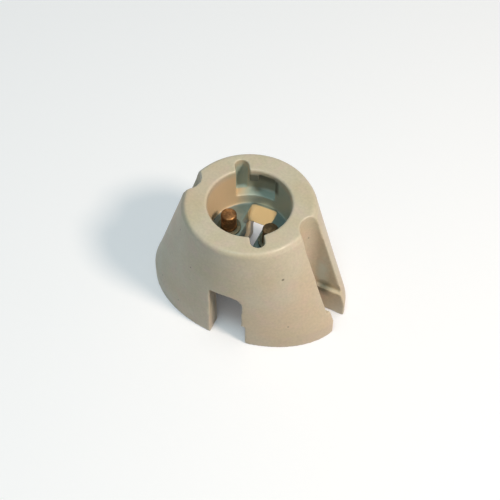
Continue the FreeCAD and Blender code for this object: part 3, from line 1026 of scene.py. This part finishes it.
@dataclass
class PorcelainBody:
    """The fired body with its soft glazed edges."""

    book: FinishBook
    voxel: float = 0.30
    melt_passes: int = 4
    melt_pull: float = 0.5
    full_bend: float = 0.12
    sag: float = 0.05
    sag_cell: float = 14.0
    level_foot: float = 1.5
    most_triangles: int = 190000

    def build(self) -> None:
        """Make the glazed body from the CAD body."""
        mesh = merged_copy("porcelain_body", "porcelain_glaze")
        piece = mesh_object("porcelain_glaze", mesh, self.book.of(GLAZE))
        skin = piece.modifiers.new("skin", "REMESH")
        skin.mode = "VOXEL"
        skin.voxel_size = self.voxel * MM
        skin.use_smooth_shade = True
        settled(piece)
        sharp = [vertex.co.copy() for vertex in piece.data.vertices]
        melt = piece.modifiers.new("melt", "SMOOTH")
        melt.factor = self.melt_pull
        melt.iterations = self.melt_passes
        settled(piece)
        self._note_edges(piece.data, sharp)
        self._sag(piece.data)
        triangles = sum(len(face.vertices) - 2 for face in piece.data.polygons)
        if triangles > self.most_triangles:
            thin = piece.modifiers.new("thin", "DECIMATE")
            thin.ratio = self.most_triangles / triangles
            settled(piece)
        piece.data.materials.clear()
        piece.data.materials.append(self.book.of(GLAZE))
        piece.data.shade_smooth()
        placed(piece, Body.HOLDER, "porcelain", "porcelain_body")

    def _note_edges(self, mesh: Mesh, sharp: Sequence[Vector]) -> None:
        """Store how far each point moved as the edges melted.

        Args:
            mesh: the melted mesh.
            sharp: the points before melting.
        """
        curve = mesh.attributes.new(EDGE_CURVE, "FLOAT", "POINT")
        scale = self.full_bend * MM
        values = []
        for vertex, before in zip(mesh.vertices, sharp):
            shift = (before - vertex.co).dot(vertex.normal)
            values.append(max(-1.0, min(1.0, shift / scale)))
        curve.data.foreach_set("value", values)

    def _sag(self, mesh: Mesh) -> None:
        """Push the skin inwards a little by slow noise, as firing leaves it.

        Args:
            mesh: the mesh to change.
        """
        points = [vertex.co.copy() for vertex in mesh.vertices]
        outward = [vertex.normal.copy() for vertex in mesh.vertices]
        moved: List[float] = []
        for point, normal in zip(points, outward):
            fade = min(1.0, point.z / (self.level_foot * MM))
            dent = 0.5 * (noise.noise(point / (self.sag_cell * MM)) - 1.0)
            moved.extend(point + normal * (dent * self.sag * MM * fade))
        mesh.vertices.foreach_set("co", moved)
        mesh.update()


# Contacts


@dataclass
class Contact:
    """One sprung contact with its barrel, fixing and terminal."""

    side: Side
    book: FinishBook
    reach: float = 6.25
    tip_top: float = 30.5
    tip_radius: float = 2.18
    tip_foot: float = 20.5
    crown: Tuple[ProfilePoint, ...] = ((0.6, 0.03), (0.88, 0.1), (1.0, 0.38))
    tip_rounding: float = 0.22
    stem_radius: float = 0.9
    stem_end: float = 10.4
    groove_radius: float = 0.62
    groove_low: float = 11.4
    barrel_foot: float = 12.0
    barrel_floor: float = 1.0
    barrel_bore: float = 2.25
    barrel_radius: float = 2.6
    barrel_rounding: float = 0.14
    stem_hole: float = 0.97
    collar_radius: float = 3.3
    collar_low: float = 24.5
    collar_thick: float = 0.7
    thread_pitch: float = 0.5
    thread_depth: float = 0.16
    thread_top: float = 20.4
    thread_start: float = 0.35
    thread_runout: float = 0.2
    wire_radius: float = 0.19
    coil_radius: float = 1.9
    coil_turns: float = 6.5
    coil_gap: float = 0.03
    travel: float = 5.0
    nut_across: float = 7.4
    nut_low: float = 16.4
    nut_high: float = 18.8
    nut_hole: float = 2.62
    nut_lead: float = 0.3
    nut_ease: float = 0.04
    nut_round_share: float = 1.03
    nut_chamfer: float = 30.0
    clip_rounding: float = 0.06
    round_segments: int = 72

    @property
    def centre(self) -> Tuple[float, float]:
        """The contact's axis in millimetres."""
        return (self.side.sign * self.reach, 0.0)

    @property
    def moving(self) -> Body:
        """The body that the plunger rides on."""
        return Body(self.side.value + "_contact")

    def named(self, stem: str) -> str:
        """Add the side to a name."""
        return stem + "_" + self.side.value

    def build(self) -> None:
        """Make and place every piece of the contact."""
        self._plunger()
        self._spring()
        self._barrel()
        self._nut()
        self._plates()

    def _plunger(self) -> None:
        """Turned plunger with a worn crown, stem and clip groove."""
        r = self.tip_radius
        crown = [(0.0, self.tip_top)]
        crown += [(share * r, self.tip_top - drop) for share, drop in self.crown]
        shaft = [(r, self.tip_foot), (self.stem_radius, self.tip_foot),
                 (self.stem_radius, self.barrel_foot),
                 (self.groove_radius, self.barrel_foot),
                 (self.groove_radius, self.groove_low),
                 (self.stem_radius, self.groove_low),
                 (self.stem_radius, self.stem_end), (0.0, self.stem_end)]
        profile = rounded(crown + shaft, self.tip_rounding, 4, False)
        mesh = lathe(self.named("plunger_tip"), self.centre, profile, False,
                     self.round_segments)
        smooth_by_angle(mesh, TURNED_ANGLE)
        # painted shade: the right plunger gets a darker copy of the contact brass, as
        # it stands in shade
        finish = CONTACT_BRASS if self.side is Side.LEFT else SHADED_PLUNGER_BRASS
        piece = mesh_object(mesh.name, mesh, self.book.of(finish))
        placed(piece, self.moving, "plunger_brass", self.named("plunger"))
        clip = softened_copy(self.named("plunger_clip"), self.named("stem_clip"),
                             self.book.of(SPRING_STEEL), self.clip_rounding)
        placed(clip, self.moving, "spring_steel", self.named("plunger_clip"))

    def _spring(self) -> None:
        """Return spring with closed end turns."""
        seat = self.barrel_foot + self.barrel_floor
        start = seat + self.wire_radius + self.coil_gap
        rise = self.tip_foot - start - self.wire_radius - self.coil_gap
        spring = HELIX.sweep(
            self.named("return_spring"), self.book.of(SPRING_STEEL),
            Coil_Radius=self.coil_radius * MM, Section_Radius=self.wire_radius * MM,
            Rise=rise * MM, Turns=self.coil_turns, Closed_Turns=1.0,
            Centre_X=self.centre[0] * MM, Centre_Y=0.0, Start_Z=start * MM,
            Points=320, Section_Sides=12)
        placed(spring, Body.HOLDER, "spring_steel", self.named("plunger_spring"))
        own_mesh(spring)

    def _barrel(self) -> None:
        """Collared barrel with a rolled thread below the platform."""
        top = self.collar_low + self.collar_thick
        seat = self.barrel_foot + self.barrel_floor
        core = self.barrel_radius - self.thread_depth
        profile = [(self.barrel_bore, top), (self.barrel_bore, seat),
                   (self.stem_hole, seat), (self.stem_hole, self.barrel_foot),
                   (core, self.barrel_foot), (core, self.thread_top),
                   (self.barrel_radius, self.thread_top + self.thread_runout),
                   (self.barrel_radius, self.collar_low),
                   (self.collar_radius, self.collar_low), (self.collar_radius, top)]
        mesh = lathe(self.named("barrel_tube"), self.centre,
                     rounded(profile, self.barrel_rounding, 3, True), True,
                     self.round_segments)
        smooth_by_angle(mesh, TURNED_ANGLE)
        piece = mesh_object(mesh.name, mesh, self.book.of(BARREL_BRASS))
        placed(piece, Body.HOLDER, "barrel_brass", self.named("contact_barrel"))
        low = self.barrel_foot + self.thread_start
        length = self.thread_top - self.thread_runout - low
        ridge = HELIX.sweep(
            self.named("barrel_thread"), self.book.of(BARREL_BRASS),
            Coil_Radius=core * MM, Section_Radius=self.thread_depth * MM,
            Rise=length * MM, Turns=length / self.thread_pitch, Closed_Turns=0.0,
            Centre_X=self.centre[0] * MM, Centre_Y=0.0, Start_Z=low * MM,
            Points=620, Section_Sides=4)
        placed(ridge, Body.HOLDER, "barrel_brass")

    def _nut(self) -> None:
        """Chamfered hexagon nut."""
        half = self.nut_across / 2.0
        crown_radius = half * self.nut_round_share
        slope = math.tan(math.radians(self.nut_chamfer))
        low, high, hole = self.nut_low, self.nut_high, self.nut_hole
        columns: List[List[Point]] = []
        for i in range(self.round_segments):
            angle = 2.0 * math.pi * i / self.round_segments
            fold = (angle + math.pi / 6.0) % (math.pi / 3.0) - math.pi / 6.0
            flat = half / math.cos(fold)
            drop = max(0.0, flat - crown_radius) * slope
            crown = min(flat, crown_radius) - self.nut_ease
            outline = ((hole, low + self.nut_lead), (hole, high - self.nut_lead),
                       (hole + self.nut_lead, high), (crown, high),
                       (flat, high - drop - self.nut_ease),
                       (flat, low + drop + self.nut_ease),
                       (crown, low), (hole + self.nut_lead, low))
            columns.append([around(self.centre, radius, angle, height)
                            for radius, height in outline])
        mesh = rings_to_mesh(self.named("hex_nut"), list(zip(*columns)), True)
        smooth_by_angle(mesh, NUT_ANGLE)
        piece = mesh_object(mesh.name, mesh, self.book.of(ZINC_STEEL))
        placed(piece, Body.HOLDER, "steel", self.named("barrel_nut"))

    def _plates(self) -> None:
        """Strap, washers, terminal block and terminal screw with eased edges."""
        rows = (("contact_strap", "strap", STRAP_BRASS, "strap_brass", 0.08),
                ("barrel_washer", "washer", ZINC_STEEL, "steel", 0.08),
                ("terminal_block", "block", BLOCK_BRASS, "block_brass", 0.15),
                ("terminal_washer", "clamp_washer", ZINC_STEEL, "steel", 0.08),
                ("terminal_screw", "clamp_screw", ZINC_STEEL, "steel", 0.2))
        for node, stem, finish, slot, width in rows:
            piece = softened_copy(self.named(node), self.named(stem),
                                  self.book.of(finish), width)
            placed(piece, Body.HOLDER, slot, self.named(node))


# Studio


@dataclass(frozen=True)
class SoftLamp:
    """A round soft lamp: watts, width and distance in metres, angles in degrees."""

    name: str
    colour: Rgb
    power: float
    width: float
    turn: float
    height: float
    distance: float = 0.55
    mark: Point = (0.0, 0.0, 25.0)

    def _light(self) -> bpy.types.Light:
        """Make the lamp's light.

        Returns:
            The light, still without power and colour.
        """
        light = bpy.data.lights.new(self.name, "AREA")
        light.shape = "DISK"
        light.size = self.width
        return light

    def hang(self) -> None:
        """Place the lamp so that it faces its mark, a point in millimetres."""
        light = self._light()
        light.energy = self.power
        light.color = self.colour
        lamp = bpy.data.objects.new(self.name, light)
        bpy.context.scene.collection.objects.link(lamp)
        turn, height = math.radians(self.turn), math.radians(self.height)
        away = Vector((math.cos(turn) * math.cos(height),
                       math.sin(turn) * math.cos(height), math.sin(height)))
        lamp.location = Vector(self.mark) * MM + away * self.distance
        lamp.rotation_euler = away.to_track_quat("Z", "Y").to_euler()


@dataclass(frozen=True)
class NarrowLamp(SoftLamp):
    """A lamp with a narrow beam, whose spread is in degrees."""

    spread: float = 1.5
    soft_edge: float = 0.25

    def _light(self) -> bpy.types.Light:
        """Make the lamp's light.

        Returns:
            The light, still without power and colour.
        """
        light = bpy.data.lights.new(self.name, "SPOT")
        light.spot_size = math.radians(self.spread)
        light.spot_blend = self.soft_edge
        light.shadow_soft_size = self.width
        return light


@dataclass
class Studio:
    """Pale floor, soft lights and the camera of the photograph."""

    floor_tone: Rgb = (0.63, 0.60, 0.63)
    floor_half: float = 3.0
    floor_roughness: float = 0.9
    floor_cells: float = 300.0
    floor_depth: float = 0.02
    floor_glow: float = 0.42
    contact_reach: float = 0.03
    contact_limits: Limits = (0.05, 0.55)
    contact_samples: int = 6
    key: SoftLamp = SoftLamp("key", (1.0, 0.88, 0.72), 2.35, 0.11, -10.0, 48.0)
    fill: SoftLamp = SoftLamp("fill", (0.58, 0.92, 1.0), 0.80, 0.16, -95.0, 74.0)
    slope_beam: NarrowLamp = NarrowLamp("beam", (1.0, 0.76, 0.44), 2.0, 0.001, -80.0,
                                        62.0, 0.30, (0.0, 9.2, 22.4))
    sky: Rgb = (0.66, 0.94, 1.0)
    sky_strength: float = 0.15
    view_turn: float = 24.314
    view_height: float = 52.734
    view_roll: float = 0.225
    distance: float = 300.0
    aim_right: float = 0.18
    aim_up: float = -1.206
    aim_height: float = 19.35
    focal_pixels: float = 1067.285
    frame_pixels: float = 500.0
    film: float = 36.0
    nearest: float = 0.01
    farthest: float = 20.0

    def build(self) -> None:
        """Set up the whole studio."""
        self._floor()
        self._sky()
        for lamp in (self.key, self.fill, self.slope_beam):
            lamp.hang()
        self._camera()
        bpy.context.scene.view_settings.view_transform = "Standard"

    def _floor(self) -> None:
        """Lay the pale floor, clear from below, whose glow fades near the object as a
        painted contact shadow.
        """
        material, graph, shader = new_material("pale_floor")
        place = graph.add("ShaderNodeTexCoord").outputs["Object"]
        grain = graph.noise(place, self.floor_cells, 2.0)
        # painted contact shadow: the glow fades where the object hides the floor from
        # the sky
        open_sky = graph.add("ShaderNodeAmbientOcclusion",
                             {"Distance": self.contact_reach},
                             samples=self.contact_samples)
        kept = graph.spread(open_sky.outputs["AO"], *self.contact_limits)
        graph.fill(shader, {
            "Base Color": (*self.floor_tone, 1.0), "Roughness": self.floor_roughness,
            "Normal": graph.bump(grain, self.floor_depth * MM), "Emission Color": WHITE,
            "Emission Strength": graph.product(graph.seen(), kept, self.floor_glow)})
        clear = graph.add("ShaderNodeBsdfTransparent")
        below = graph.add("ShaderNodeNewGeometry").outputs["Backfacing"]
        sides = graph.add("ShaderNodeMixShader", {0: below, 1: shader, 2: clear})
        output = material.node_tree.nodes["Material Output"]
        graph.feed(output, "Surface", sides)
        mesh = bpy.data.meshes.new("studio_floor")
        half = self.floor_half
        corners = [(-half, -half, 0.0), (half, -half, 0.0), (half, half, 0.0),
                   (-half, half, 0.0)]
        mesh.from_pydata(corners, [], [(0, 1, 2, 3)])
        mesh_object("studio_floor", mesh, material)

    def _sky(self) -> None:
        """Light the object evenly from all round, and show white behind it."""
        world = bpy.data.worlds.new("soft_sky")
        world.use_nodes = True
        bpy.context.scene.world = world
        tree = world.node_tree
        graph = Graph(tree)
        light = tree.nodes["Background"]
        graph.fill(light, {"Color": (*self.sky, 1.0), "Strength": self.sky_strength})
        backdrop = graph.add("ShaderNodeBackground", {"Color": WHITE, "Strength": 1.0})
        mix = graph.add("ShaderNodeMixShader",
                        {0: graph.seen(), 1: light, 2: backdrop})
        graph.feed(tree.nodes["World Output"], "Surface", mix)

    def _camera(self) -> None:
        """Place the camera where the photograph was taken from."""
        turn = math.radians(self.view_turn)
        height = math.radians(self.view_height)
        back = Vector((math.sin(turn) * math.cos(height),
                       -math.cos(turn) * math.cos(height), math.sin(height)))
        right = Vector((math.cos(turn), math.sin(turn), 0.0))
        up = back.cross(right)
        target = (Vector((0.0, 0.0, self.aim_height)) + right * self.aim_right
                  + up * self.aim_up) * MM
        roll = Matrix.Rotation(math.radians(self.view_roll), 3, back)
        right = roll @ right
        up = roll @ up
        data = bpy.data.cameras.new("photo_camera")
        data.sensor_width = self.film
        data.lens = self.film * self.focal_pixels / self.frame_pixels
        data.clip_start = self.nearest
        data.clip_end = self.farthest
        camera = bpy.data.objects.new("photo_camera", data)
        bpy.context.scene.collection.objects.link(camera)
        turned = Matrix((right, up, back)).transposed().to_4x4()
        camera.matrix_world = (Matrix.Translation(target + back * self.distance * MM)
                               @ turned)
        bpy.context.scene.camera = camera


def main() -> None:
    """Build every piece, then the studio."""
    logging.basicConfig(level=logging.INFO, format="%(name)s %(message)s")
    book = FinishBook()
    PorcelainBody(book).build()
    for side in Side:
        Contact(side, book).build()
    Studio().build()


if __name__ == "__main__":
    main()
